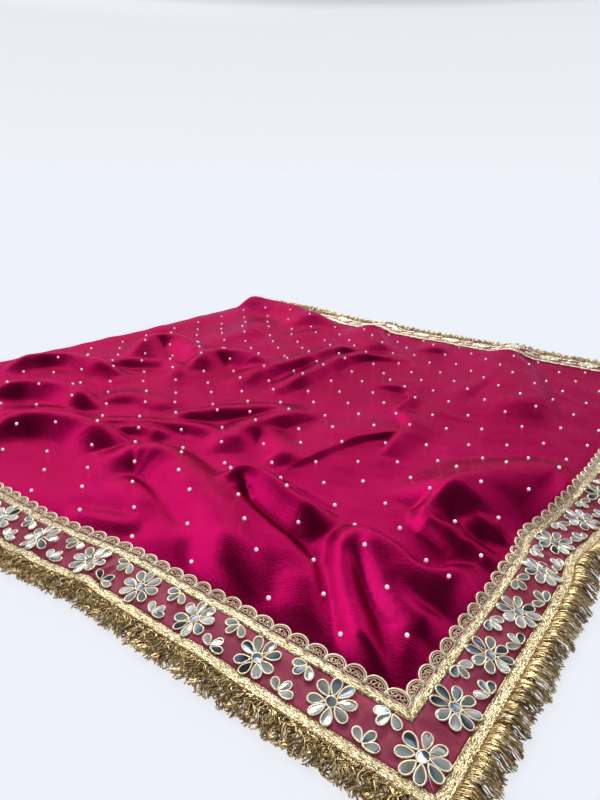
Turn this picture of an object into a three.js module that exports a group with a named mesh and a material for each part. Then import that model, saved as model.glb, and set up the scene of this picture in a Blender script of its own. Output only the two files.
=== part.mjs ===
// A saree laid out on a floor: the pallu and the width of cloth next to it show on top,
// the rest of its length is folded to and fro beneath. Millimetres, +Z up, Z 0 the floor.
// The cloth is laid out in u (along its length, from the turned edge to the pallu end)
// and v (across its width, from the near long edge to the far one).
import * as THREE from 'three';

// ---- named sizes ----
const FOLD_U = -515;            // line where the cloth begins to turn under
const END_U = 536;              // hem of the pallu end
const NEAR_V = -547;            // hem of the near long edge
const FAR_V = 505;              // hem of the far long edge
const WALL = 1.5;               // satin
const BAND_WALL = 1.2;          // organza band
const BRAID_WALL = 2.0;
const EDGING_WALL = 1.3;        // scalloped edging
const OUTER_BRAID = [0, 10];    // distances in from the hem
const BAND = [10.4, 44.5];
const INNER_BRAID = [45.05, 52.7];
const SATIN_IN = 53.3;
const EDGING = [53.5, 55.5, 63.4];   // base line, valley line, crown line
const SCALLOP_PITCH = 18.5;
const EDGING_LIFT = 1.5;
const HEM_Z = 2.0;              // height of the cloth's face at its hems
const STACK_Z = 11.2;           // height of the hidden layers
const DECK_Z = 14.6;            // height of the face over them, between folds
const DECK_RUN = 78;            // run over which the face climbs from hem to deck
const FAR_REST = 55;            // how far the far border lies in over the hidden layers
const TURN_RUN = 70;            // run over which the face swells towards the turned edge
const TURN_MIN = 2.6;           // least radius of the turn
const RETURN = 22;              // cloth shown going back beneath the turn
const FRINGE = [-0.75, -3.75, -27.4];  // strip's inner and outer line, lock tips
const LOCK_PITCH = 28;

// ---- folds: the places its crest runs through, its height, and its width on either hand
// (right: the side on the right when walking along the crest) ----
const FOLDS = [
  { crest: [[176, -352], [163, -336], [162, -317], [184, -312], [214, -320], [248, -331], [282, -338], [318, -341]], h: 24, right: 38, left: 34 },
  { crest: [[138, -306], [152, -330], [180, -353], [214, -371], [249, -382], [290, -396], [329, -416], [358, -446], [388, -480]], h: 13, right: 54, left: 23 },
  { crest: [[6, -404], [4, -376], [12, -354], [39, -343], [71, -346], [114, -363], [163, -389], [203, -408], [254, -438], [320, -488]], h: 24, right: 48, left: 50 },
  { crest: [[30, -404], [78, -411], [126, -428], [169, -444], [207, -449], [250, -456]], h: 8, right: 36, left: 22 },
  { crest: [[396, -140], [386, -188], [381, -225], [378, -251], [381, -265], [393, -276], [412, -281], [434, -290], [450, -306]], h: 17, right: 24, left: 34 },
  { crest: [[310, -338], [344, -341], [360, -344], [398, -354], [415, -362], [431, -363], [444, -354], [452, -337], [453, -308]], h: 20, right: 54, left: 26 },
  { crest: [[382, -252], [391, -201], [400, -164], [415, -140], [436, -119], [462, -94], [500, -66]], h: 27, right: 92, left: 92 },
  { crest: [[408, -284], [421, -255], [434, -240], [451, -234], [480, -238]], h: 10, right: 24, left: 24 },
  { crest: [[428, -278], [451, -283], [476, -298]], h: 7, right: 20, left: 18 },
  { crest: [[64, -180], [105, -192], [144, -216], [178, -256]], h: 9, right: 32, left: 36 },
  { crest: [[184, -264], [191, -220], [196, -176], [201, -139], [214, -105], [234, -76], [246, -40]], h: 6, right: 9, left: 100 },
  { crest: [[96, -72], [85, -112], [76, -149], [69, -189], [76, -228], [104, -266]], h: 13, right: 52, left: 30 },
  { crest: [[-70, -246], [-40, -209], [-9, -167], [30, -124], [84, -84]], h: 11, right: 34, left: 44 },
  { crest: [[196, 12], [236, -20], [252, -57], [253, -91], [266, -146]], h: 9, right: 20, left: 34 },
  { crest: [[106, 104], [141, 106], [175, 97], [191, 72], [193, 33], [204, -4]], h: 8, right: 16, left: 20 },
  { crest: [[328, -326], [338, -357], [351, -381], [368, -403], [387, -425], [406, -444], [430, -470], [458, -500]], h: 14, right: 24, left: 22 },
  { crest: [[342, -330], [364, -351], [386, -372], [407, -391], [430, -406], [460, -416], [490, -418]], h: 13, right: 24, left: 30 },
  { crest: [[440, -418], [465, -446], [486, -474]], h: 5, right: 24, left: 24 },
  { crest: [[-10, -50], [-8, 15], [-12, 75], [-16, 141], [-14, 195], [6, 236], [56, 262]], h: 13, right: 26, left: 50 },
  { crest: [[-74, -70], [-89, 14], [-87, 70], [-77, 120], [-75, 186], [-60, 244], [6, 260]], h: 13, right: 30, left: 60 },
  { crest: [[190, 474], [210, 440], [243, 400], [293, 319], [334, 234], [365, 157], [388, 76]], h: 17, right: 110, left: 44 },
  { crest: [[240, 112], [243, 199], [250, 269], [240, 350]], h: 6, right: 26, left: 40 },
  { crest: [[-344, -62], [-394, -2], [-403, 42], [-374, 61], [-325, 55], [-261, 21], [-216, -12]], h: 21, right: 50, left: 40 },
  { crest: [[-194, -52], [-225, -1], [-227, 39], [-192, 62], [-144, 61], [-84, 38]], h: 20, right: 50, left: 40 },
  { crest: [[-368, -132], [-343, -93], [-311, -71], [-271, -51], [-231, -59], [-186, -110]], h: 10, right: 36, left: 28 },
  { crest: [[-184, -456], [-198, -420], [-198, -390], [-182, -372], [-156, -356], [-123, -346], [-86, -346], [-36, -364]], h: 23, right: 50, left: 40 },
  { crest: [[-338, -365], [-350, -339], [-345, -310], [-323, -291], [-285, -274], [-238, -273], [-174, -296]], h: 21, right: 46, left: 34 },
  { crest: [[-448, -280], [-470, -232], [-467, -194], [-440, -167], [-396, -154], [-339, -151], [-276, -160]], h: 19, right: 44, left: 32 },
  { crest: [[-96, -332], [-80, -312], [-62, -294], [-36, -287], [-2, -292]], h: 8, right: 24, left: 26 },
  { crest: [[-214, -252], [-164, -210], [-80, -204]], h: 6, right: 32, left: 44 },
  { crest: [[-286, -378], [-216, -336], [-126, -312], [-66, -268], [8, -240], [70, -238]], h: 7, right: 22, left: 34 },
  { crest: [[60, -500], [110, -478], [150, -452]], h: 5, right: 24, left: 30 },
  { crest: [[-580, 505], [-505, 488], [-430, 486], [-330, 454], [-250, 416], [-176, 382]], h: 22, right: 90, left: 50 },
  { crest: [[-506, 90], [-480, 230], [-478, 380]], h: 3, right: 70, left: 50 },
  { crest: [[-116, 470], [-100, 430], [-50, 366], [22, 284]], h: 13, right: 90, left: 40 },
  { crest: [[60, 470], [76, 420], [96, 350]], h: 8, right: 60, left: 36 },
  { crest: [[-200, 250], [-190, 340], [-215, 440]], h: 7, right: 60, left: 60 },
  { crest: [[-330, 120], [-320, 220], [-360, 340]], h: 8, right: 60, left: 60 },
];
const FOLD_POWER = 2.2;         // how sharply crossing folds merge
const FOLD_TAPER = 0.3;         // share of a fold's length over which it rises at each end

// ---- creases that run out through the borders: place, direction (0 along u, 90 along v),
// height and half-width ----
const CREASES = [
  // u, v, angle, length, h, half
  [505, -278, 12, 60, 6, 42],
  [505, -60, -8, 70, 5, 40],
  [505, 210, 6, 60, 4, 44],
  [80, -540, 84, 44, 4, 20],
  [165, -535, 95, 44, 4, 22],
  [-250, -520, 84, 60, 4, 44],
  [320, -525, 88, 60, 3, 40],
  [222, 472, 96, 80, 13, 50],
  [-98, 470, 88, 80, 11, 50],
  [-235, 490, 90, 70, 5, 50],
].map(([u, v, angle, length, h, half]) => ({ u, v, angle, length, h, half }));

const clamp = (t, a = 0, b = 1) => Math.min(b, Math.max(a, t));
const smooth = (t) => { const c = clamp(t); return c * c * (3 - 2 * c); };
const mix = (a, b, t) => a + (b - a) * t;
const range = (n) => Array.from({ length: n }, (_, i) => i);

const FOLD_STEPS = 16;
const crests = FOLDS.map((fold) => {
  const line = new THREE.CatmullRomCurve3(fold.crest.map(([x, y]) => new THREE.Vector3(x, y, 0)));
  return line.getSpacedPoints(FOLD_STEPS).map((p) => [p.x, p.y]);
});

/** Height of one fold at a place. */
function foldHeight(fold, crest, x, y) {
  let best = Infinity, side = 1, along = 0;
  for (let i = 0; i < FOLD_STEPS; i++) {
    const [ax, ay] = crest[i], [cx, cy] = crest[i + 1];
    const dx = cx - ax, dy = cy - ay;
    const t = clamp(((x - ax) * dx + (y - ay) * dy) / (dx * dx + dy * dy));
    const qx = x - ax - dx * t, qy = y - ay - dy * t;
    const d = Math.hypot(qx, qy);
    if (d < best) {
      best = d;
      side = (dx * qy - dy * qx) / Math.max(d * Math.hypot(dx, dy), 1e-9);
      along = (i + t) / FOLD_STEPS;
    }
  }
  const q = best / mix(fold.right, fold.left, 0.5 + 0.5 * side);
  if (q >= 1) return 0;
  const ends = smooth(along / FOLD_TAPER + 0.25) * smooth((1 - along) / FOLD_TAPER + 0.25);
  return fold.h * (1 - q * q) ** 2 * ends;
}

/** Rise of the creases that cross the borders. */
function creaseHeight(x, y) {
  let sum = 0;
  for (const c of CREASES) {
    const a = c.angle * Math.PI / 180;
    const dx = x - c.u, dy = y - c.v;
    const run = Math.abs(dx * Math.cos(a) + dy * Math.sin(a)) / c.length;
    const off = Math.abs(dy * Math.cos(a) - dx * Math.sin(a)) / c.half;
    if (run < 1 && off < 1) sum += c.h * (1 - off * off) ** 2 * (1 - run * run) ** 2;
  }
  return sum;
}

/** How far the pallu's hem runs out past END_U: a pucker, then a slight flare. */
const endBend = (y) => 9 * smooth((y + 190) / 150) - 8 * Math.exp(-(((y + 212) / 32) ** 2));

/** The near hem's run out, where it swings towards -v and back. */
const nearBend = (x) => -15 * smooth((190 - x) / 150) * smooth((x + 380) / 260);

/** The far hem's run out towards the turned edge. */
const farBend = (x) => 56 * smooth((-180 - x) / 230);

/** How far the turned edge is drawn in. */
const foldBend = (y) => 15 * Math.exp(-(((y - 150) / 190) ** 2));

/** Where a place of the cloth lies in plan, bent along with its edges. */
function plan(u, v) {
  return [
    u + endBend(v) * smooth((u - 150) / 320) + foldBend(v) * (1 - smooth((u - FOLD_U) / 260)),
    v + nearBend(u) * smooth((-150 - v) / 320) + farBend(u) * smooth((v - 150) / 320),
  ];
}

/** Distance in from the nearest hem. */
const hemDistance = (x, y) => Math.min(
  END_U + endBend(y) - x, y - NEAR_V - nearBend(x), FAR_V + farBend(x) - y,
);

/** Distance in from where the cloth comes down to the floor. */
const restDistance = (x, y) => Math.min(
  END_U + endBend(y) - x, y - NEAR_V - nearBend(x), FAR_V + FAR_REST - y,
);

/** Height of the cloth's returning run under the turned edge. */
const returnHeight = (y) => mix(2.1, 8.2, smooth((Math.min(y - NEAR_V, FAR_V + FAR_REST - y) - 22) / 60));

/** Height of the cloth's face. */
function faceHeight(x, y) {
  const rest = smooth(restDistance(x, y) / DECK_RUN);
  const deck = mix(HEM_Z, DECK_Z, rest);
  const turn = returnHeight(y) + 2 * mix(TURN_MIN, 5.2, rest);
  const swell = 1 - smooth((x - FOLD_U - foldBend(y)) / TURN_RUN);
  const ground = mix(deck, Math.max(turn, deck), swell);
  let sum = 0;
  FOLDS.forEach((fold, i) => { sum += foldHeight(fold, crests[i], x, y) ** FOLD_POWER; });
  const inner = smooth((hemDistance(x, y) - 53) / 40);
  return ground + inner * sum ** (1 / FOLD_POWER) + creaseHeight(x, y);
}

/** A point of the face and the way it looks; u below FOLD_U goes round the turn. */
function face(u, v) {
  const [x, y] = plan(Math.max(u, FOLD_U), v);
  const z = faceHeight(x, y), d = 1.5;
  if (u >= FOLD_U) {
    const zx = (faceHeight(x + d, y) - faceHeight(x - d, y)) / (2 * d);
    const zy = (faceHeight(x, y + d) - faceHeight(x, y - d)) / (2 * d);
    return { p: new THREE.Vector3(x, y, z), n: new THREE.Vector3(-zx, -zy, 1).normalize() };
  }
  const low = returnHeight(y), radius = Math.max(TURN_MIN, (z - low) / 2);
  const turn = Math.min(1, (FOLD_U - u) / 3) * Math.PI;
  const back = clamp(FOLD_U - u - 3) * RETURN;
  return {
    p: new THREE.Vector3(x - radius * Math.sin(turn) + back, y, z - radius * (1 - Math.cos(turn))),
    n: new THREE.Vector3(-Math.sin(turn), 0, Math.cos(turn)),
  };
}

// ---- closed shells ----
/** A closed solid from cells (rings of point numbers) with an upper and a lower point each. */
function shell(name, material, upper, lower, cells) {
  const position = [], index = [], count = upper.length;
  [...upper, ...lower].forEach((p) => position.push(p.x, p.y, p.z));
  const edges = new Map();
  for (const cell of cells) {
    for (let i = 1; i + 1 < cell.length; i++) {
      index.push(cell[0], cell[i], cell[i + 1]);
      index.push(cell[0] + count, cell[i + 1] + count, cell[i] + count);
    }
    cell.forEach((a, i) => {
      const b = cell[(i + 1) % cell.length];
      if (edges.has(`${b} ${a}`)) edges.delete(`${b} ${a}`);
      else edges.set(`${a} ${b}`, [a, b]);
    });
  }
  for (const [a, b] of edges.values()) {
    index.push(a, a + count, b + count, a, b + count, b);
  }
  const geometry = new THREE.BufferGeometry();
  geometry.setAttribute('position', new THREE.Float32BufferAttribute(position, 3));
  geometry.setIndex(index);
  geometry.computeVertexNormals();
  const mesh = new THREE.Mesh(geometry, material);
  mesh.name = name;
  return mesh;
}

/** Cells of a grid of columns and rows, numbered column by column. */
function gridCells(columns, rows, flip) {
  const cells = [];
  for (let i = 0; i + 1 < columns; i++) {
    for (let j = 0; j + 1 < rows; j++) {
      const a = i * rows + j, b = a + rows;
      cells.push(flip ? [a, a + 1, b + 1, b] : [a, b, b + 1, a + 1]);
    }
  }
  return cells;
}

const lifted = (s, lift) => s.p.clone().addScaledVector(s.n, lift);

function stations(from, to, step) {
  const n = Math.round(Math.abs(to - from) / step);
  return range(n + 1).map((i) => mix(from, to, i / n));
}

// columns of the satin: the turn (whole numbers past FOLD_U), then wide steps, then close ones
const SATIN_U = [
  FOLD_U - 4, FOLD_U - 3, FOLD_U - 2, FOLD_U - 1,
  ...stations(FOLD_U, 120, 29).slice(0, -1),
  ...stations(120, END_U - SATIN_IN, 18),
];
const SATIN_V = [
  ...stations(NEAR_V + SATIN_IN, -130, 18).slice(0, -1),
  ...stations(-130, FAR_V - SATIN_IN - 36, 33).slice(0, -1),
  ...stations(FAR_V - SATIN_IN - 36, FAR_V - SATIN_IN, 18),
];

// ---- sides: where a place along a side and a distance in from its hem lie ----
const MITRE = 0.25;             // each side's pull-back from the mitred corner
const SIDES = {
  near: { at: (s, e) => [s, NEAR_V + e], along: SATIN_U, flip: false },
  end: { at: (s, e) => [END_U - e, s], along: SATIN_V, flip: false },
  far: { at: (s, e) => [s, FAR_V - e], along: SATIN_U, flip: true },
};

/** Stations of a side at a distance in from the hem, run on to the mitred corners. */
function sideStations(sideName, e) {
  const inner = SIDES[sideName].along;
  if (sideName !== 'end') return [...inner.slice(0, -1), inner.at(-1), END_U - e - MITRE];
  return [NEAR_V + e + MITRE, ...inner, FAR_V - e - MITRE];
}

/** A strip of a side's border between two distances in from its hem. */
function strip(name, material, sideName, [e0, e1], upperLift, wall, flat = false) {
  const side = SIDES[sideName];
  const upper = [], lower = [];
  const first = sideStations(sideName, e0), last = sideStations(sideName, e1);
  first.forEach((s, i) => {
    [[s, e0], [last[i], e1]].forEach(([along, e]) => {
      const f = face(...side.at(along, e));
      upper.push(lifted(f, upperLift));
      const under = lifted(f, upperLift - wall);
      if (flat && under.z < 0.4 && f.n.z > 0.5) under.z = 0;
      lower.push(under);
    });
  });
  return shell(name, material, upper, lower, gridCells(first.length, 2, side.flip));
}

/** A point over the satin's own facets between its stations. */
function overSatin(sideName, s, e, lift) {
  const side = SIDES[sideName], rows = side.along;
  const after = rows.findIndex((value) => value > s);
  const at = after < 0 ? rows.length - 2 : Math.max(after - 1, 0);
  const along = (s - rows[at]) / (rows[at + 1] - rows[at]);
  const step = sideName === 'end' ? SATIN_U.at(-1) - SATIN_U.at(-2)
    : sideName === 'near' ? SATIN_V[1] - SATIN_V[0] : SATIN_V.at(-1) - SATIN_V.at(-2);
  const inward = (e - SATIN_IN) / step;
  const corner = (i, j) => lifted(face(...side.at(rows[at + i], SATIN_IN + j * step)), lift);
  // a and b run along u and v over the cell, whose diagonal joins its lowest and highest corners
  const [a, b] = { near: [along, inward], far: [along, 1 - inward], end: [1 - inward, along] }[sideName];
  const cell = {
    near: (i, j) => corner(i, j), far: (i, j) => corner(i, 1 - j), end: (i, j) => corner(j, 1 - i),
  }[sideName];
  const middle = a > b ? cell(1, 0) : cell(0, 1);
  return cell(0, 0).multiplyScalar(1 - Math.max(a, b))
    .addScaledVector(middle, Math.abs(a - b)).addScaledVector(cell(1, 1), Math.min(a, b));
}

/** The scalloped edging of a side: a narrow base and a row of flat-topped crowns. */
function edging(name, material, sideName, from, to) {
  const [e0, e1, e2] = EDGING;
  const count = Math.round((to - from) / SCALLOP_PITCH), pitch = (to - from) / count;
  const upper = [], lower = [], cells = [];
  const add = (s, e) => {
    upper.push(overSatin(sideName, s, e, EDGING_LIFT + EDGING_WALL));
    lower.push(overSatin(sideName, s, e, EDGING_LIFT));
    return upper.length - 1;
  };
  let base = add(from, e0), valley = add(from, e1);
  for (let i = 0; i < count; i++) {
    const s = from + i * pitch;
    const left = add(s + pitch * 0.2, e2 - 1.2), crown = add(s + pitch * 0.5, e2);
    const right = add(s + pitch * 0.8, e2 - 1.2);
    const nextBase = add(s + pitch, e0), nextValley = add(s + pitch, e1);
    const ring = [base, nextBase, nextValley, right, crown, left, valley];
    cells.push(SIDES[sideName].flip ? ring.reverse() : ring);
    base = nextBase;
    valley = nextValley;
  }
  return shell(name, material, upper, lower, cells);
}

/** The fringe of a side: a narrow strip outside the hem with locks lying out from it. */
function fringe(name, material, sideName, from, to) {
  const side = SIDES[sideName], [e0, e1, e2] = FRINGE;
  const count = Math.round((to - from) / LOCK_PITCH), pitch = (to - from) / count;
  const upper = [], lower = [], cells = [];
  const add = (s, e, top, bottom) => {
    const rows = sideName === 'end' ? [NEAR_V, ...side.along, FAR_V] : [...side.along, END_U];
    const at = clamp(rows.findIndex((value) => value > s) - 1, 0, rows.length - 2);
    const t = (s - rows[at]) / (rows[at + 1] - rows[at]);
    const hem = (k) => face(...side.at(rows[k], 0)).p.z;
    const z = mix(hem(at), hem(at + 1), clamp(t)) - HEM_Z;
    const [x0, y0] = plan(...side.at(rows[at], e)), [x1, y1] = plan(...side.at(rows[at + 1], e));
    upper.push(new THREE.Vector3(mix(x0, x1, t), mix(y0, y1, t), z + top));
    lower.push(new THREE.Vector3(mix(x0, x1, t), mix(y0, y1, t), z + bottom));
    return upper.length - 1;
  };
  const atStart = sideName === 'end' ? -490 : -Infinity;
  const splay = (s) => (Math.max(0, s - 480) - Math.max(0, atStart - s)) / 6;
  let inner = add(from, e0, 2.2, 0.2), outer = add(from, e1, 2.2, 0.2);
  for (let i = 0; i < count; i++) {
    const s = from + i * pitch;
    const sway = 2.2 * Math.sin(1.7 * i + s * 0.01) + splay(s);
    const reach = e2 + 2.4 * (1 + Math.sin(2.3 * i));
    const tipLeft = add(s + pitch * 0.22 + sway, reach + 1.5, 1.5, 0.3);
    const tipRight = add(s + pitch * 0.76 + sway, reach, 1.5, 0.3);
    const nextInner = add(s + pitch, e0, 2.2, 0.2), nextOuter = add(s + pitch, e1, 2.2, 0.2);
    const rings = [[inner, outer, nextOuter, nextInner], [outer, tipLeft, tipRight, nextOuter]];
    rings.forEach((ring) => cells.push(side.flip ? ring.reverse() : ring));
    inner = nextInner;
    outer = nextOuter;
  }
  return shell(name, material, upper, lower, cells);
}

/** The hidden length of the saree, folded to and fro: three layers with rounded edges. */
function foldedLayers(name, material) {
  const layers = 3, thick = STACK_Z / layers, sides = 48;
  const inset = [
    // left, right, near, far reach of each layer
    { left: -490, right: 452, near: -468, far: 480 },
    { left: -487, right: 446, near: -462, far: 474 },
    { left: -464, right: 449, near: -466, far: 478 },
  ];
  const rings = [];
  inset.forEach((reach, k) => {
    [[0, 1.8], [0.5, 0], [1, 1.8]].forEach(([part, pinch]) => {
      if (k > 0 && part === 0) return;
      const ring = range(sides).map((i) => {
        const a = (2 * Math.PI * (i + 0.5)) / sides;
        const power = 0.22;
        const cx = Math.sign(Math.cos(a)) * Math.abs(Math.cos(a)) ** power;
        const cy = Math.sign(Math.sin(a)) * Math.abs(Math.sin(a)) ** power;
        const wobble = 1.6 * Math.sin(3 * a + k * 1.9) + 1.1 * Math.sin(7 * a + k);
        const rx = (reach.right - reach.left) / 2 - pinch + wobble;
        const ry = (reach.far - reach.near) / 2 - pinch + wobble;
        const x = (reach.right + reach.left) / 2 + cx * rx;
        const y = (reach.far + reach.near) / 2 + cy * ry;
        return new THREE.Vector3(x, y, (k + part) * thick);
      });
      rings.push(ring);
    });
  });
  const position = [], index = [];
  rings.flat().forEach((p) => position.push(p.x, p.y, p.z));
  for (let r = 0; r + 1 < rings.length; r++) {
    for (let i = 0; i < sides; i++) {
      const a = r * sides + i, b = r * sides + ((i + 1) % sides);
      index.push(a, b, b + sides, a, b + sides, a + sides);
    }
  }
  const top = (rings.length - 1) * sides;
  for (let i = 1; i + 1 < sides; i++) index.push(0, i + 1, i, top, top + i, top + i + 1);
  const geometry = new THREE.BufferGeometry();
  geometry.setAttribute('position', new THREE.Float32BufferAttribute(position, 3));
  geometry.setIndex(index);
  geometry.computeVertexNormals();
  const mesh = new THREE.Mesh(geometry, material);
  mesh.name = name;
  return mesh;
}

// ---- materials ----
const material = (name, color, roughness, metalness) => Object.assign(
  new THREE.MeshStandardMaterial({ color, roughness, metalness }), { name },
);
const satin = material('magenta_satin', 0xc4185f, 0.4, 0.2);
const satinBack = material('satin_reverse', 0x9c1250, 0.6, 0.05);
const organza = material('rose_organza', 0xb46a72, 0.6, 0.1);
const braid = material('gold_braid', 0xc9b27a, 0.45, 0.6);
const cord = material('cream_cord', 0xe6dcc0, 0.6, 0.1);
const thread = material('gold_thread', 0xb28a4c, 0.4, 0.6);

// ---- the saree ----
const saree = new THREE.Group();
saree.name = 'saree';

const satinUpper = [], satinLower = [];
for (const u of SATIN_U) {
  for (const v of SATIN_V) {
    const f = face(u, v);
    satinUpper.push(f.p);
    satinLower.push(lifted(f, -WALL));
  }
}
saree.add(shell('satin_panel', satin, satinUpper, satinLower,
  gridCells(SATIN_U.length, SATIN_V.length, false)));
saree.add(foldedLayers('folded_layers', satinBack));

const FROM = { near: FOLD_U + 6, end: NEAR_V + SATIN_IN + 11, far: FOLD_U + 6 };
const TO = { near: END_U - SATIN_IN - 0.4, end: FAR_V - SATIN_IN - 11, far: END_U - SATIN_IN - 0.4 };
const FRINGE_FROM = { near: FOLD_U + 6, end: NEAR_V + 2, far: FOLD_U + 6 };
const FRINGE_TO = { near: END_U - 2, end: FAR_V - 2, far: END_U - 2 };
for (const side of Object.keys(SIDES)) {
  saree.add(strip(`${side}_outer_braid`, braid, side, OUTER_BRAID, 0, BRAID_WALL, true));
  saree.add(strip(`${side}_mirror_band`, organza, side, BAND, -0.2, BAND_WALL));
  saree.add(strip(`${side}_inner_braid`, braid, side, INNER_BRAID, 0.3, BRAID_WALL));
  saree.add(edging(`${side}_scalloped_edging`, cord, side, FROM[side], TO[side]));
  saree.add(fringe(`${side}_fringe`, thread, side, FRINGE_FROM[side], FRINGE_TO[side]));
}

// ---- stand the middle of the part's footprint on the origin ----
const box = new THREE.Box3().setFromObject(saree);
const shift = new THREE.Vector3(-(box.min.x + box.max.x) / 2, -(box.min.y + box.max.y) / 2, 0);
saree.children.forEach((mesh) => mesh.geometry.translate(shift.x, shift.y, shift.z));

export default saree;
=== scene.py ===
import math
import random

import bmesh
import bpy
import numpy as np
from mathutils import Matrix, Vector


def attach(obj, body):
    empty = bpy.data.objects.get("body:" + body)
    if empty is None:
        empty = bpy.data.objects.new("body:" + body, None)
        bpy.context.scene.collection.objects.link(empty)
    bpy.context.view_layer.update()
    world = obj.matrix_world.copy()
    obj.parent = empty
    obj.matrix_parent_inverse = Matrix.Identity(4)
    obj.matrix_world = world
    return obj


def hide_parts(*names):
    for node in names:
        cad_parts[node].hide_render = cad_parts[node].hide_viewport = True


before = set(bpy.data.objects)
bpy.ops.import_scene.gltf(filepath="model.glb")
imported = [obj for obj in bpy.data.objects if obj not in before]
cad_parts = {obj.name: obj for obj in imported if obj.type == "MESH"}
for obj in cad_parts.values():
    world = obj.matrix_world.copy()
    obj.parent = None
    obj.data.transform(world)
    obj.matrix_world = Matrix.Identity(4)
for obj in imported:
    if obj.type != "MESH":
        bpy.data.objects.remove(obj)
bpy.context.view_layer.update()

# A saree laid out on a floor. Sizes are millimetres in the cloth's own plan, as in the part's source:
# u runs along the saree from its turned edge to the pallu end, v across it from the near long edge
# to the far one. place() turns them into the frame's metres.
MM = 0.001
SHIFT = (-23.6, 0.5)            # from the cloth's plan to the frame
FOLD_U, END_U, NEAR_V, FAR_V = -515.0, 536.0, -547.0, 505.0
OUTER_BRAID, BAND, INNER_BRAID = (0.0, 10.0), (9.4, 45.8), (45.05, 52.9)
SATIN_IN = 53.3
HEM_Z, DECK_Z, DECK_RUN = 2.0, 14.6, 78.0
TURN_RUN, TURN_MIN, RETURN = 70.0, 2.6, 22.0
STACK_Z = 11.2
FAR_REST = 55.0                 # how far the far border lies in over the hidden layers
SCALLOP_PITCH = 18.5
FLOWER_PITCH = {"near": 72.0, "end": 67.0, "far": 72.0}
FLOWER_START = {"near": 434.0, "end": -468.0, "far": 434.0}
FLOWER_LINE = 27.6              # the band's middle, in from the hem
HEART_SIZE = (9.2, 8.0)         # length and width of the round piece in a flower
PETALS, PETAL_RING, PETAL_SIZE = 8, 12.2, (13.4, 8.7)
LEAF_ROOTS = ((43.4, -1), (11.8, 1))    # a sprig's root, in from the hem, and which way it grows
LEAF_ANGLES, LEAF_REACH, LEAF_SIZE = (0.25, 1.15, 2.35), 7.4, (11.4, 7.2)
# Mirror tones are painted reflections: blue-grey, green-grey, brown-grey, pale and white
MIRROR_REFLECTION_TONES = [0.33, 0.45, 0.6, 0.7, 0.8, 0.9, 0.9, 1.0, 1.0]
DARK_REFLECTION_SHARE = {"near": 0.1, "end": 0.3, "far": 0.1}      # mirrors given a painted dark reflection
RIM_RADIUS = {"near": 0.78, "end": 0.78, "far": 1.0}
PEARL_FROM, PEARL_PITCH, PEARL_ROW = (411.0, -471.0), 84.5, 35.8
PEARL_RADIUS, PEARL_LIFT = 2.05, 1.2
THREAD_RADIUS = {"near": 0.8, "end": 0.62, "far": 0.8}
SHADE_THREAD_REACH = {"near": (15, 21), "end": (10, 15)}       # short dark threads below the fringe: painted shade under it and in its gaps
FRINGE = {
    # spacing, points on a thread, kink, width of a bundle, height of its hump
    "near": (0.86, 13, 1.9, 9.0, 3.8),
    "end": (0.75, 10, 0.6, 14.0, 4.4),
    "far": (1.6, 9, 1.3, 14.0, 9.0),
}
CURL_KINK = 0.8                 # fringes kinked more than this have loose curls
CURL_RADIUS, CURL_PITCH, CURL_STRANDS, FAR_CURL_LIFT = 0.58, 5.5, 3, 8
STITCH_PITCH, STITCH_RADIUS = 3.4, 0.22
STITCH_LINES = ((0.9, 0.75), (9.0, 0.6), (45.9, 0.85))  # in from the hem, and lift
GATHERS = {
    # along, reach, height of each place where the organza is gathered
    "near": [(80, 15, 1.8), (165, 17, 1.6), (-60, 60, 0.7), (500, 40, 0.9)],
    "end": [(-250, 26, 1.6), (-130, 60, 0.8), (-500, 34, 1.0)],
    "far": [(60, 90, 0.6)],
}
SEED = 11

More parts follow.
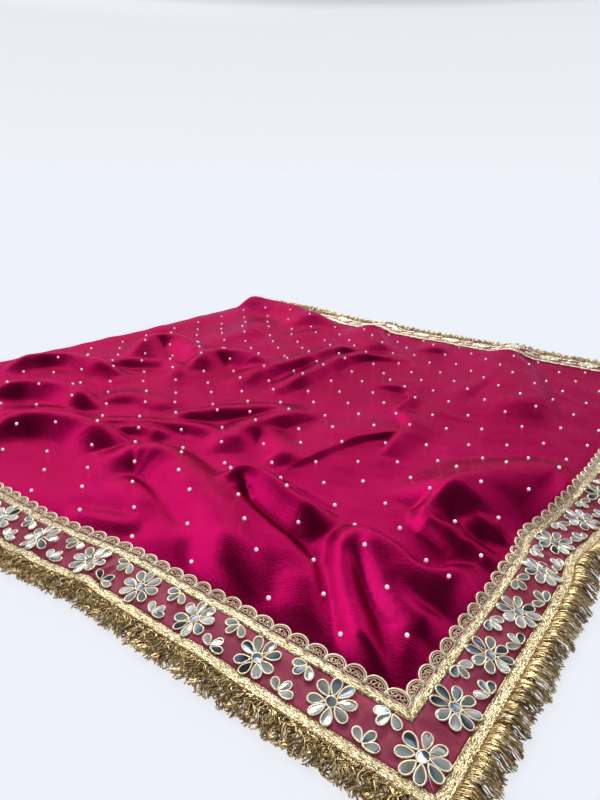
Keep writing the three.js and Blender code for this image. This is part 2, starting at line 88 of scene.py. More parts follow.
FOLDS = [
    # crest, height, width to the right of it, width to the left
    ([[176, -352], [163, -336], [162, -317], [184, -312], [214, -320], [248, -331], [282, -338],
      [318, -341]], 24, 38, 34),
    ([[138, -306], [152, -330], [180, -353], [214, -371], [249, -382], [290, -396], [329, -416],
      [358, -446], [388, -480]], 13, 54, 23),
    ([[6, -404], [4, -376], [12, -354], [39, -343], [71, -346], [114, -363], [163, -389],
      [203, -408], [254, -438], [320, -488]], 24, 48, 50),
    ([[30, -404], [78, -411], [126, -428], [169, -444], [207, -449], [250, -456]], 8, 36, 22),
    ([[396, -140], [386, -188], [381, -225], [378, -251], [381, -265], [393, -276], [412, -281],
      [434, -290], [450, -306]], 17, 24, 34),
    ([[310, -338], [344, -341], [360, -344], [398, -354], [415, -362], [431, -363], [444, -354],
      [452, -337], [453, -308]], 20, 54, 26),
    ([[382, -252], [391, -201], [400, -164], [415, -140], [436, -119], [462, -94],
      [500, -66]], 27, 92, 92),
    ([[408, -284], [421, -255], [434, -240], [451, -234], [480, -238]], 10, 24, 24),
    ([[428, -278], [451, -283], [476, -298]], 7, 20, 18),
    ([[64, -180], [105, -192], [144, -216], [178, -256]], 9, 32, 36),
    ([[184, -264], [191, -220], [196, -176], [201, -139], [214, -105], [234, -76],
      [246, -40]], 6, 9, 100),
    ([[96, -72], [85, -112], [76, -149], [69, -189], [76, -228], [104, -266]], 13, 52, 30),
    ([[-70, -246], [-40, -209], [-9, -167], [30, -124], [84, -84]], 11, 34, 44),
    ([[196, 12], [236, -20], [252, -57], [253, -91], [266, -146]], 9, 20, 34),
    ([[106, 104], [141, 106], [175, 97], [191, 72], [193, 33], [204, -4]], 8, 16, 20),
    ([[328, -326], [338, -357], [351, -381], [368, -403], [387, -425], [406, -444], [430, -470],
      [458, -500]], 14, 24, 22),
    ([[342, -330], [364, -351], [386, -372], [407, -391], [430, -406], [460, -416],
      [490, -418]], 13, 24, 30),
    ([[440, -418], [465, -446], [486, -474]], 5, 24, 24),
    ([[-10, -50], [-8, 15], [-12, 75], [-16, 141], [-14, 195], [6, 236], [56, 262]], 13, 26, 50),
    ([[-74, -70], [-89, 14], [-87, 70], [-77, 120], [-75, 186], [-60, 244], [6, 260]], 13, 30, 60),
    ([[190, 474], [210, 440], [243, 400], [293, 319], [334, 234], [365, 157], [388, 76]], 17, 110, 44),
    ([[240, 112], [243, 199], [250, 269], [240, 350]], 6, 26, 40),
    ([[-344, -62], [-394, -2], [-403, 42], [-374, 61], [-325, 55], [-261, 21], [-216, -12]], 21, 50, 40),
    ([[-194, -52], [-225, -1], [-227, 39], [-192, 62], [-144, 61], [-84, 38]], 20, 50, 40),
    ([[-368, -132], [-343, -93], [-311, -71], [-271, -51], [-231, -59], [-186, -110]], 10, 36, 28),
    ([[-184, -456], [-198, -420], [-198, -390], [-182, -372], [-156, -356], [-123, -346],
      [-86, -346], [-36, -364]], 23, 50, 40),
    ([[-338, -365], [-350, -339], [-345, -310], [-323, -291], [-285, -274], [-238, -273],
      [-174, -296]], 21, 46, 34),
    ([[-448, -280], [-470, -232], [-467, -194], [-440, -167], [-396, -154], [-339, -151],
      [-276, -160]], 19, 44, 32),
    ([[-96, -332], [-80, -312], [-62, -294], [-36, -287], [-2, -292]], 8, 24, 26),
    ([[-214, -252], [-164, -210], [-80, -204]], 6, 32, 44),
    ([[-286, -378], [-216, -336], [-126, -312], [-66, -268], [8, -240], [70, -238]], 7, 22, 34),
    ([[60, -500], [110, -478], [150, -452]], 5, 24, 30),
    ([[-580, 505], [-505, 488], [-430, 486], [-330, 454], [-250, 416], [-176, 382]], 22, 90, 50),
    ([[-506, 90], [-480, 230], [-478, 380]], 3, 70, 50),
    ([[-116, 470], [-100, 430], [-50, 366], [22, 284]], 13, 90, 40),
    ([[60, 470], [76, 420], [96, 350]], 8, 60, 36),
    ([[-200, 250], [-190, 340], [-215, 440]], 7, 60, 60),
    ([[-330, 120], [-320, 220], [-360, 340]], 8, 60, 60),
]
FOLD_POWER, FOLD_TAPER, FOLD_STEPS = 2.2, 0.3, 16

CREASES = [
    # u, v, angle, length, height, half-width
    (505, -278, 12, 60, 6, 42),
    (505, -60, -8, 70, 5, 40),
    (505, 210, 6, 60, 4, 44),
    (80, -540, 84, 44, 4, 20),
    (165, -535, 95, 44, 4, 22),
    (-250, -520, 84, 60, 4, 44),
    (320, -525, 88, 60, 3, 40),
    (222, 472, 96, 80, 13, 50),
    (-98, 470, 88, 80, 11, 50),
    (-235, 490, 90, 70, 5, 50),
]

WRINKLES = [
    # narrow creases in the satin: crest, height, half-width
    ([[172, -290], [222, -285], [272, -295], [334, -318]], 1.4, 7),
    ([[326, -304], [375, -318], [415, -330]], 1.6, 6),
    ([[-330, 96], [-250, 110], [-170, 120]], 1.2, 9),
    ([[-60, 330], [10, 300], [70, 220]], 1.3, 8),
    ([[60, 380], [110, 300], [160, 190]], 1.2, 9),
    ([[300, 380], [330, 300], [420, 230]], 1.2, 8),
    ([[-390, 300], [-330, 250], [-250, 240]], 1.3, 9),
    ([[225, 40], [270, 52], [330, 50]], 1.3, 16),
    ([[-120, -300], [-60, -330], [20, -330]], 1.2, 8),
    ([[420, -230], [452, -246], [484, -250]], 1.6, 7),
    ([[-400, -110], [-320, -120], [-230, -110]], 1.2, 9),
]


# ---------------------------------------------------------------- the cloth's face
def smooth(t):
    t = np.clip(t, 0.0, 1.0)
    return t * t * (3 - 2 * t)


def mix(a, b, t):
    return a + (b - a) * t


def crest_line(points):
    """A smooth line through a few points, as even steps."""
    pts = [np.array(p, float) for p in points]
    ext = [2 * pts[0] - pts[1]] + pts + [2 * pts[-1] - pts[-2]]
    out = []
    for p0, p1, p2, p3 in zip(ext, ext[1:], ext[2:], ext[3:]):
        d0, d1, d2 = (max(math.sqrt(np.linalg.norm(b - a)), 1e-4) for a, b in ((p0, p1), (p1, p2), (p2, p3)))
        t1 = ((p1 - p0) / d0 - (p2 - p0) / (d0 + d1) + (p2 - p1) / d1) * d1
        t2 = ((p2 - p1) / d1 - (p3 - p1) / (d1 + d2) + (p3 - p2) / d2) * d1
        for t in np.linspace(0, 1, 24, endpoint=False):
            square, cube = 3 * (p2 - p1) - 2 * t1 - t2, 2 * (p1 - p2) + t1 + t2
            out.append(p1 + t1 * t + square * t * t + cube * t ** 3)
    out = np.array(out + [pts[-1]])
    run = np.r_[0, np.cumsum(np.hypot(*np.diff(out, axis=0).T))]
    even = np.linspace(0, run[-1], FOLD_STEPS + 1)
    return np.stack([np.interp(even, run, out[:, 0]), np.interp(even, run, out[:, 1])], 1)


def ridge(x, y, crest, height, right, left):
    """Height of one fold: rounded over its crest, tapered at its ends."""
    line = crest_line(crest)
    reach = max(right, left)
    near = ((x > line[:, 0].min() - reach) & (x < line[:, 0].max() + reach)
            & (y > line[:, 1].min() - reach) & (y < line[:, 1].max() + reach))
    px, py = x[near], y[near]
    best, side, along = np.full(px.shape, 1e9), np.ones(px.shape), np.zeros(px.shape)
    for i, ((ax, ay), (bx, by)) in enumerate(zip(line, line[1:])):
        dx, dy = bx - ax, by - ay
        t = np.clip(((px - ax) * dx + (py - ay) * dy) / (dx * dx + dy * dy), 0, 1)
        qx, qy = px - ax - dx * t, py - ay - dy * t
        d = np.hypot(qx, qy)
        k = d < best
        turned = (dx * qy - dy * qx) / np.maximum(d * math.hypot(dx, dy), 1e-9)
        best[k], side[k], along[k] = d[k], turned[k], ((i + t) / FOLD_STEPS)[k]
    q = np.minimum(best / mix(right, left, 0.5 + 0.5 * side), 1)
    ends = smooth(along / FOLD_TAPER + 0.25) * smooth((1 - along) / FOLD_TAPER + 0.25)
    out = np.zeros(x.shape)
    out[near] = height * (1 - q * q) ** 2 * ends
    return out


def crease_height(x, y):
    total = np.zeros(x.shape)
    for u, v, angle, length, height, half in CREASES:
        c, s = math.cos(math.radians(angle)), math.sin(math.radians(angle))
        run = np.minimum(abs((x - u) * c + (y - v) * s) / length, 1)
        off = np.minimum(abs((y - v) * c - (x - u) * s) / half, 1)
        total += height * (1 - off ** 2) ** 2 * (1 - run ** 2) ** 2
    return total


def end_bend(y):
    """How far the pallu's hem runs out past END_U: a pucker, then a slight flare."""
    return 9 * smooth((y + 190) / 150) - 8 * np.exp(-((y + 212) / 32) ** 2)


def near_bend(x):
    """The near hem's run out, where it swings towards -v and back."""
    return -15 * smooth((190 - x) / 150) * smooth((x + 380) / 260)


def far_bend(x):
    """The far hem's run out towards the turned edge."""
    return 56 * smooth((-180 - x) / 230)


def fold_bend(y):
    """How far the turned edge is drawn in."""
    return 15 * np.exp(-((y - 150) / 190) ** 2)


def plan(u, v):
    """Where a place of the cloth lies in plan, bent along with its edges."""
    x = u + end_bend(v) * smooth((u - 150) / 320) + fold_bend(v) * (1 - smooth((u - FOLD_U) / 260))
    return x, v + near_bend(u) * smooth((-150 - v) / 320) + far_bend(u) * smooth((v - 150) / 320)


def hem_distance(x, y):
    return np.minimum(np.minimum(END_U + end_bend(y) - x, y - NEAR_V - near_bend(x)), FAR_V + far_bend(x) - y)


def rest_distance(x, y):
    """How far in a place lies from where the cloth comes down to the floor."""
    return np.minimum(np.minimum(END_U + end_bend(y) - x, y - NEAR_V - near_bend(x)), FAR_V + FAR_REST - y)


def return_height(y):
    """Height of the cloth's returning run under its turned edge."""
    return mix(2.1, 8.2, smooth((np.minimum(y - NEAR_V, FAR_V + FAR_REST - y) - 22) / 60))


def undulation(x, y):
    """Slight unevenness of cloth smoothed by hand."""
    return (1.5 * np.sin(x / 31 + 1.3 * np.sin(y / 47)) * np.sin(y / 39 + 0.8)
            + 0.75 * np.sin(x / 17 + y / 23) * np.sin(y / 19 - x / 61)
            + 0.2 * np.sin(x / 9.5 - y / 14) * np.sin(y / 8.7 + x / 33))


def face_height(x, y):
    rest = smooth(rest_distance(x, y) / DECK_RUN)
    deck = mix(HEM_Z, DECK_Z, rest)
    turn = return_height(y) + 2 * mix(TURN_MIN, 5.2, rest)
    ground = mix(deck, np.maximum(turn, deck), 1 - smooth((x - FOLD_U - fold_bend(y)) / TURN_RUN))
    total = sum(ridge(x, y, *row) ** FOLD_POWER for row in FOLDS)
    fine = sum(ridge(x, y, crest, height, half, half) for crest, height, half in WRINKLES)
    inner = smooth((hem_distance(x, y) - 53) / 28)
    return ground + inner * (total ** (1 / FOLD_POWER) + fine + undulation(x, y)) + crease_height(x, y)


GRID = 2.0
grid_x = np.arange(FOLD_U - 2 * GRID, END_U + 60, GRID)
grid_y = np.arange(NEAR_V - 60, FAR_V + 100, GRID)
grid_z = face_height(*np.meshgrid(grid_x, grid_y, indexing="ij"))
slope_x, slope_y = np.gradient(grid_z, GRID)


def sample(field, x, y):
    i = np.clip((x - grid_x[0]) / GRID, 0, len(grid_x) - 1.001)
    j = np.clip((y - grid_y[0]) / GRID, 0, len(grid_y) - 1.001)
    a, b = i.astype(int), j.astype(int)
    s, t = i - a, j - b
    return ((field[a, b] * (1 - s) + field[a + 1, b] * s) * (1 - t)
            + (field[a, b + 1] * (1 - s) + field[a + 1, b + 1] * s) * t)


def place(u, v, lift=0.0):
    """Points of the face in metres, moved out by lift; u below FOLD_U goes round the turned edge."""
    u, v, lift = (np.asarray(a, float) for a in np.broadcast_arrays(u, v, lift))
    x, y = plan(np.maximum(u, FOLD_U), v)
    z = sample(grid_z, x, y)
    n = np.stack([-sample(slope_x, x, y), -sample(slope_y, x, y), np.ones(z.shape)], -1)
    n /= np.linalg.norm(n, axis=-1, keepdims=True)
    p = np.stack([x, y, z], -1)
    over = u < FOLD_U
    if over.any():
        low = return_height(y)
        radius = np.maximum(TURN_MIN, (z - low) / 2)
        turn = np.minimum(1, (FOLD_U - u) / 3) * math.pi
        back = np.clip(FOLD_U - u - 3, 0, 1) * RETURN
        q = np.stack([x - radius * np.sin(turn) + back, y, z - radius * (1 - np.cos(turn))], -1)
        m = np.stack([-np.sin(turn), 0 * y, np.cos(turn)], -1)
        p, n = np.where(over[..., None], q, p), np.where(over[..., None], m, n)
    p = p + n * lift[..., None] + np.array([SHIFT[0], SHIFT[1], 0])
    return p * MM


# A place along a side and in from its hem, as u and v.
SIDE_AT = {
    "near": lambda s, e: (s, NEAR_V + e),
    "end": lambda s, e: (END_U - e, s),
    "far": lambda s, e: (s, FAR_V - e),
}


def on_side(side, s, e, lift=0.0):
    s, e = np.broadcast_arrays(np.asarray(s, float), np.asarray(e, float))
    return place(*SIDE_AT[side](s, e), lift)


# ---------------------------------------------------------------- meshes
def new_object(name, verts, faces, material, uv=None, tone=None, closed=False):
    """faces: a list of integer arrays, each of one polygon size."""
    verts = np.asarray(verts, float).reshape(-1, 3)
    mesh = bpy.data.meshes.new(name)
    sizes = np.concatenate([np.full(len(f), f.shape[1]) for f in faces])
    loops = np.concatenate([f.ravel() for f in faces])
    mesh.vertices.add(len(verts))
    mesh.vertices.foreach_set("co", verts.ravel())
    mesh.loops.add(len(loops))
    mesh.loops.foreach_set("vertex_index", loops.astype(np.int32))
    mesh.polygons.add(len(sizes))
    mesh.polygons.foreach_set("loop_start", np.r_[0, np.cumsum(sizes)[:-1]].astype(np.int32))
    mesh.polygons.foreach_set("use_smooth", np.ones(len(sizes), bool))
    if uv is not None:
        layer = mesh.uv_layers.new(name="UVMap")
        layer.data.foreach_set("uv", np.asarray(uv, float).reshape(-1, 2)[loops].ravel())
    if tone is not None:
        layer = mesh.color_attributes.new("tone", "FLOAT_COLOR", "POINT")
        grey = np.repeat(np.asarray(tone, float).ravel()[:, None], 4, 1)
        grey[:, 3] = 1
        layer.data.foreach_set("color", grey.ravel())
    mesh.update(calc_edges=True)
    mesh.validate()
    if closed:
        bm = bmesh.new()
        bm.from_mesh(mesh)
        bmesh.ops.recalc_face_normals(bm, faces=bm.faces)
        bm.to_mesh(mesh)
        bm.free()
    mesh.materials.append(material)
    obj = bpy.data.objects.new(name, mesh)
    bpy.context.scene.collection.objects.link(obj)
    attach(obj, "root")
    return obj


def grid_faces(columns, rows, offset=0):
    n = np.arange(columns * rows).reshape(columns, rows) + offset
    return np.stack([n[:-1, :-1], n[1:, :-1], n[1:, 1:], n[:-1, 1:]], -1).reshape(-1, 4)


def tubes(paths, radius, sides=5, loop=False):
    """Round tubes along equal-length paths (paths, points, xyz), in metres. Vertices and faces."""
    paths = np.asarray(paths, float)
    count, points = paths.shape[:2]
    if loop:
        ahead, behind = np.roll(paths, -1, 1), np.roll(paths, 1, 1)
    else:
        ahead = np.concatenate([paths[:, 1:], paths[:, -1:]], 1)
        behind = np.concatenate([paths[:, :1], paths[:, :-1]], 1)
    t = ahead - behind
    t /= np.maximum(np.linalg.norm(t, axis=-1, keepdims=True), 1e-12)
    side = np.cross(t, np.array([0.0, 0.0, 1.0]))
    length = np.linalg.norm(side, axis=-1, keepdims=True)
    side = np.where(length > 0.05, side / np.maximum(length, 1e-9), np.array([1.0, 0.0, 0.0]))
    up = np.cross(side, t)
    a = np.arange(sides) * 2 * math.pi / sides
    r = np.broadcast_to(np.asarray(radius, float), (count, points))[..., None, None]
    ring = (side[:, :, None] * np.cos(a)[:, None] + up[:, :, None] * np.sin(a)[:, None]) * r
    verts = (paths[:, :, None] + ring).reshape(-1, 3)
    base = np.arange(count * points * sides).reshape(count, points, sides)
    nxt = np.roll(base, -1, 2)
    if loop:
        b2, n2 = np.roll(base, -1, 1), np.roll(nxt, -1, 1)
        quads = np.stack([base, nxt, n2, b2], -1).reshape(-1, 4)
        return verts, [quads]
    quads = np.stack([base[:, :-1], nxt[:, :-1], nxt[:, 1:], base[:, 1:]], -1).reshape(-1, 4)
    caps = np.concatenate([base[:, 0, ::-1], base[:, -1]])
    return verts, [quads, caps]


def joined(parts):
    """Several (verts, faces) as one."""
    verts, faces, offset = [], [], 0
    for v, fs in parts:
        verts.append(v)
        faces += [f + offset for f in fs]
        offset += len(v)
    return np.concatenate(verts), faces


# ---------------------------------------------------------------- materials
def new_material(name, **values):
    material = bpy.data.materials.new(name)
    material.use_nodes = True
    shader = material.node_tree.nodes["Principled BSDF"]
    for key, value in values.items():
        shader.inputs[key.replace("_", " ")].default_value = value
    return material, material.node_tree, shader


def node(tree, kind, values=(), **links):
    """A node, with its properties, its socket values and its links set."""
    item = tree.nodes.new(kind)
    for key, value in dict(values).items():
        if isinstance(key, int) or key in item.inputs:
            item.inputs[key].default_value = value
        else:
            setattr(item, key, value)
    for key, source in links.items():
        socket = item.inputs[int(key[1:])] if key[0] == "_" else item.inputs[key]
        tree.links.new(source, socket)
    return item


def ramp(tree, source, stops):
    item = tree.nodes.new("ShaderNodeValToRGB")
    tree.links.new(source, item.inputs[0])
    marks = item.color_ramp.elements
    while len(marks) < len(stops):
        marks.new(0.5)
    for mark, (position, color) in zip(marks, stops):
        mark.position = position
    for mark, (position, color) in zip(marks, stops):
        mark.color = (*color, 1)
    return item.outputs[0]


def bump(tree, shader, height, distance, strength, normal=None):
    item = node(tree, "ShaderNodeBump", {"Distance": distance, "Strength": strength}, Height=height)
    if normal is not None:
        tree.links.new(normal, item.inputs["Normal"])
    tree.links.new(item.outputs[0], shader.inputs["Normal"])


def satin_material(name, bright, deep, roughness, metallic, edge):
    """Satin with its weave, slubs and brushed streaks as bump; edge tints its glancing shine."""
    material, tree, shader = new_material(
        name, Roughness=roughness, Metallic=metallic, Specular_Tint=edge, Anisotropic=0.35)
    uv = node(tree, "ShaderNodeTexCoord").outputs["UV"]
    cloud = node(tree, "ShaderNodeTexNoise", {"Scale": 9.0, "Detail": 4.0}, Vector=uv)
    streak_at = node(tree, "ShaderNodeMapping", {"Scale": (260.0, 1400.0, 1.0)}, Vector=uv)
    streak = node(tree, "ShaderNodeTexNoise", {"Scale": 1.0, "Detail": 3.0}, Vector=streak_at.outputs[0])
    both = node(tree, "ShaderNodeMath", {"operation": "MULTIPLY_ADD", 1: 0.45},
                _0=streak.outputs[0], _2=cloud.outputs[0])
    tree.links.new(ramp(tree, both.outputs[0], [(0.45, deep), (0.95, bright)]), shader.inputs["Base Color"])
    warp = node(tree, "ShaderNodeTexWave", {"Scale": 900.0, "bands_direction": "X"}, Vector=uv)
    weft = node(tree, "ShaderNodeTexWave", {"Scale": 620.0, "bands_direction": "Y"}, Vector=uv)
    weave = node(tree, "ShaderNodeMath", {"operation": "MULTIPLY"}, _0=warp.outputs[1], _1=weft.outputs[1])
    first = node(tree, "ShaderNodeBump", {"Distance": 0.00006, "Strength": 0.35}, Height=weave.outputs[0])
    slub = node(tree, "ShaderNodeTexNoise", {"Scale": 1.0, "Detail": 2.0}, Vector=streak_at.outputs[0])
    second = node(tree, "ShaderNodeBump", {"Distance": 0.00035, "Strength": 0.5}, Height=slub.outputs[0],
                  Normal=first.outputs[0])
    brushed_at = node(tree, "ShaderNodeMapping", {"Rotation": (0, 0, 0.5), "Scale": (170.0, 520.0, 1.0)},
                      Vector=uv)
    brushed = node(tree, "ShaderNodeTexNoise", {"Scale": 1.0, "Detail": 4.0}, Vector=brushed_at.outputs[0])
    bump(tree, shader, brushed.outputs[0], 0.0011, 0.45, second.outputs[0])
    return material


def thread_material(name, light, dark, roughness, metallic, pitch, relief):
    """Twisted or plaited metallic thread; lightness follows each piece's tone."""
    material, tree, shader = new_material(name, Roughness=roughness, Metallic=metallic)
    where = node(tree, "ShaderNodeTexCoord").outputs["Object"]
    tone = node(tree, "ShaderNodeVertexColor", {"layer_name": "tone"}).outputs[0]
    grain = node(tree, "ShaderNodeTexNoise", {"Scale": pitch, "Detail": 2.0}, Vector=where)
    both = node(tree, "ShaderNodeMath", {"operation": "MULTIPLY_ADD", 1: 0.8}, _0=grain.outputs[0], _2=tone)
    tree.links.new(ramp(tree, both.outputs[0], [(0.35, dark), (1.1, light)]), shader.inputs["Base Color"])
    bump(tree, shader, grain.outputs[0], relief, 0.7)
    return material


satin = satin_material("magenta_satin", (0.88, 0.010, 0.188), (0.70, 0.003, 0.126),
                       roughness=0.26, metallic=0.87, edge=(0.46, 0.05, 0.33, 1))
satin_back = satin_material("satin_reverse", (0.62, 0.012, 0.15), (0.48, 0.006, 0.10),
                            roughness=0.45, metallic=0.55, edge=(1.0, 0.3, 0.6, 1))


def organza_material():
    material, tree, shader = new_material("rose_organza", Roughness=0.5, Metallic=0.2, Specular_IOR_Level=0.3)
    uv = node(tree, "ShaderNodeTexCoord").outputs["UV"]
    cloud = node(tree, "ShaderNodeTexNoise", {"Scale": 28.0, "Detail": 5.0}, Vector=uv)
    tree.links.new(ramp(tree, cloud.outputs[0], [(0.3, (0.20, 0.010, 0.042)), (0.7, (0.36, 0.034, 0.088))]),
                   shader.inputs["Base Color"])
    warp = node(tree, "ShaderNodeTexWave", {"Scale": 420.0, "bands_direction": "X"}, Vector=uv)
    weft = node(tree, "ShaderNodeTexWave", {"Scale": 420.0, "bands_direction": "Y"}, Vector=uv)
    weave = node(tree, "ShaderNodeMath", {"operation": "ADD"}, _0=warp.outputs[1], _1=weft.outputs[1])
    bump(tree, shader, weave.outputs[0], 0.00012, 0.6)
    return material


def braid_material():
    """Short gold stitches lying along the braid; each stitch is painted lighter on its top and darker towards
    its edges, a painted highlight and painted shade between stitches, with painted glints in fine specks.
    """
    material, tree, shader = new_material("gold_braid", Roughness=0.34, Metallic=0.7)
    uv = node(tree, "ShaderNodeTexCoord").outputs["UV"]
    lie = node(tree, "ShaderNodeMapping", {"Rotation": (0, 0, 0.35), "Scale": (420.0, 1150.0, 1.0)},
               Vector=uv)
    grain = node(tree, "ShaderNodeTexVoronoi", {"Scale": 1.0, "Randomness": 0.85}, Vector=lie.outputs[0])
    cell = node(tree, "ShaderNodeSeparateColor", {}, _0=grain.outputs["Color"])
    # Fine specks of painted glint, lightening the braid towards pale gold.
    painted_glint_speck = node(tree, "ShaderNodeTexNoise", {"Scale": 900.0, "Detail": 3.0}, Vector=uv)
    # Each stitch painted lighter at its middle and darker towards its edges: painted highlight on its top,
    # painted shade between stitches.
    painted_stitch_shade = node(tree, "ShaderNodeMath", {"operation": "SUBTRACT", 0: 0.95}, _1=grain.outputs["Distance"])
    shade = node(tree, "ShaderNodeMath", {"operation": "MULTIPLY_ADD", 1: 0.35},
                 _0=cell.outputs[0], _2=painted_stitch_shade.outputs[0])
    both = node(tree, "ShaderNodeMath", {"operation": "MULTIPLY_ADD", 1: 0.5},
                _0=painted_glint_speck.outputs[0], _2=shade.outputs[0])
    tree.links.new(ramp(tree, both.outputs[0], [(0.5, (0.16, 0.10, 0.035)), (0.85, (0.62, 0.48, 0.24)),
                                                (1.3, (0.93, 0.83, 0.58))]), shader.inputs["Base Color"])
    bump(tree, shader, both.outputs[0], 0.0007, 0.9)
    return material


organza = organza_material()
braid = braid_material()
cord = thread_material("cream_cord", (0.93, 0.84, 0.62), (0.55, 0.42, 0.22), 0.38, 0.45, 900.0, 0.0004)
gold = thread_material("gold_thread", (0.80, 0.60, 0.30), (0.17, 0.095, 0.03), 0.30, 0.85, 700.0, 0.0005)
stitch = thread_material("stitch_thread", (0.42, 0.30, 0.14), (0.12, 0.07, 0.03), 0.6, 0.2, 900.0, 0.0003)


def mirror_material():
    material, tree, shader = new_material("mirror", Roughness=0.08, Metallic=0.72)
    tone = node(tree, "ShaderNodeVertexColor", {"layer_name": "tone"}).outputs[0]
    # Each mirror's colour is a painted reflection: tone 0 near black, then blue-grey, green-grey, brown-grey,
    # pale and white.
    tree.links.new(ramp(tree, tone, [(0.0, (0.012, 0.010, 0.012)), (0.3, (0.36, 0.46, 0.62)),
                                     (0.45, (0.50, 0.56, 0.50)), (0.6, (0.52, 0.47, 0.42)),
                                     (0.8, (0.66, 0.74, 0.80)), (1.0, (0.97, 0.98, 1.0))]),
                   shader.inputs["Base Color"])
    return material


def pearl_material():
    # The pearls glow faintly pink-white by emission, painted light that makes them read whiter.
    material, tree, shader = new_material(
        "pearl", Roughness=0.22, Coat_Weight=0.6, Coat_Roughness=0.08, Emission_Color=(1.0, 0.86, 0.92, 1),
        Emission_Strength=0.34)
    # Colour turns pinker towards the pearl's edges as seen: a painted sheen.
    painted_edge_sheen = node(tree, "ShaderNodeLayerWeight", {"Blend": 0.35}).outputs[1]
    tree.links.new(ramp(tree, painted_edge_sheen, [(0.0, (0.96, 0.88, 0.90)), (1.0, (0.97, 0.80, 0.88))]),
                   shader.inputs["Base Color"])
    return material


mirror = mirror_material()
pearl = pearl_material()


# ---------------------------------------------------------------- satin
def graded(start, stop, fine, coarse, fine_at_end):
    """Steps that grow from fine to coarse between two ends."""
    n = int(2 * (stop - start) / (fine + coarse))
    t = np.linspace(0, 1, n + 1)
    k = (coarse - fine) / (coarse + fine)
    w = t + k * t * (1 - t) if fine_at_end else t - k * t * (1 - t)
    return start + (stop - start) * w


flat_u = graded(FOLD_U, END_U - SATIN_IN, 2.5, 4.4, True)
turn_u = FOLD_U - np.r_[4.0, np.linspace(3.0, 0.0, 13)[:-1]]
cloth_u = np.r_[turn_u, flat_u]
cloth_v = graded(NEAR_V + SATIN_IN, FAR_V - SATIN_IN, 2.5, 4.4, False)


def satin_panel():
    u, v = (a.ravel() for a in np.meshgrid(cloth_u, cloth_v, indexing="ij"))
    uv = np.stack([u, v], 1) * MM
    obj = new_object("satin", place(u, v), [grid_faces(len(cloth_u), len(cloth_v))], satin, uv)
    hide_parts("satin_panel")
    return obj


def folded_layers():
    """The hidden length: three folded layers, each with a full round edge."""
    runs = [  # left, right, near and far edge
        (-490, 452, -468, 480),
        (-487, 446, -462, 474),
        (-464, 449, -466, 478),
    ]
    thick, sides = STACK_Z / len(runs), 220
    a = (np.arange(sides) + 0.5) * 2 * math.pi / sides
    cx, cy = (np.sign(w) * np.abs(w) ** 0.22 for w in (np.cos(a), np.sin(a)))
    rings = []
    for k, (left, right, near, far) in enumerate(runs):
        for part in (0.0, 0.12, 0.3, 0.5, 0.7, 0.88, 1.0):
            pinch = 1.9 * (1 - math.sqrt(max(0.0, 1 - (2 * part - 1) ** 2)))
            wobble = 1.6 * np.sin(3 * a + k * 1.9) + 1.1 * np.sin(7 * a + k) + 0.3 * np.sin(31 * a + 2 * k)
            x = (right + left) / 2 + cx * ((right - left) / 2 - pinch + wobble)
            y = (far + near) / 2 + cy * ((far - near) / 2 - pinch + wobble)
            rings.append(np.stack([x, y, np.full(sides, (k + part) * thick)], 1))
    verts = (np.concatenate(rings) + np.array([SHIFT[0], SHIFT[1], 0])) * MM
    n = np.arange(len(verts)).reshape(len(rings), sides)
    m = np.roll(n, -1, 1)
    quads = np.stack([n[:-1], m[:-1], m[1:], n[1:]], -1).reshape(-1, 4)
    obj = new_object("hidden_layers", verts, [quads, n[:1, ::-1], n[-1:]], satin_back,
                     verts[:, :2], closed=True)
    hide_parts("folded_layers")
    return obj


# ---------------------------------------------------------------- border strips
SIDES = ("near", "end", "far")
MITRE = 0.25


def side_run(side, e, step):
    """Even places along a side at a distance in from its hem, run to the mitred corners."""
    if side == "end":
        lo, hi = NEAR_V + e + MITRE, FAR_V - e - MITRE
        return np.linspace(lo, hi, int((FAR_V - NEAR_V) / step) + 1)
    run = np.linspace(FOLD_U, END_U - e - MITRE, int((END_U - FOLD_U) / step) + 1)
    return np.r_[turn_u, run]


def strip(name, side, span, lift, wall, step, rows, relief, material, replaced):
    """A border strip: its face, its edges turned down to its wall, and its underside."""
    across = np.linspace(*span, rows)
    profile = [(span[0], lift - wall), (span[0], lift - 0.2)]
    profile += [(e, lift) for e in across[1:-1]] + [(span[1], lift - 0.2), (span[1], lift - wall)]
    columns, uvs = [], []
    for j, (e, raised) in enumerate(profile):
        s = side_run(side, e, step)
        extra = relief(s, e) if 1 < j < len(profile) - 2 else 0.0
        columns.append(on_side(side, s, e, raised + extra))
        uvs.append(np.stack([s * MM, np.full(len(s), e * MM)], 1))
    verts = np.stack(columns, 1)
    uv = np.stack(uvs, 1)
    faces = grid_faces(verts.shape[0], verts.shape[1])
    wrap = np.arange(verts.shape[0] * verts.shape[1]).reshape(verts.shape[:2])
    under = np.stack([wrap[:-1, -1], wrap[1:, -1], wrap[1:, 0], wrap[:-1, 0]], -1)
    ends = [wrap[:1, ::-1], wrap[-1:]]
    flat = np.clip(verts.reshape(-1, 3), (-9, -9, 0.0), (9, 9, 9))
    obj = new_object(name, flat, [faces, under] + ends, material, uv.reshape(-1, 2), closed=True)
    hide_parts(replaced)
    return obj


def band_relief(side):
    """Slack of the organza between its two braids, with a few gathers."""
    def relief(s, e):
        belly = np.sin(math.pi * (e - BAND[0]) / (BAND[1] - BAND[0]))
        gather = sum(height * np.exp(-((s - at) / reach) ** 2) for at, reach, height in GATHERS[side])
        crumple = np.sin(s / 2.1 + e / 9.0 + 1.2 * np.sin(e / 7.0)) + 0.5 * np.sin(s / 1.3 - e / 5.0)
        ripple = 0.35 * np.sin(s / 6.3 + e / 4.1) + 0.3 * np.sin(s / 13.7 - e / 6.0)
        return belly * (0.5 + ripple + gather * crumple)
    return relief


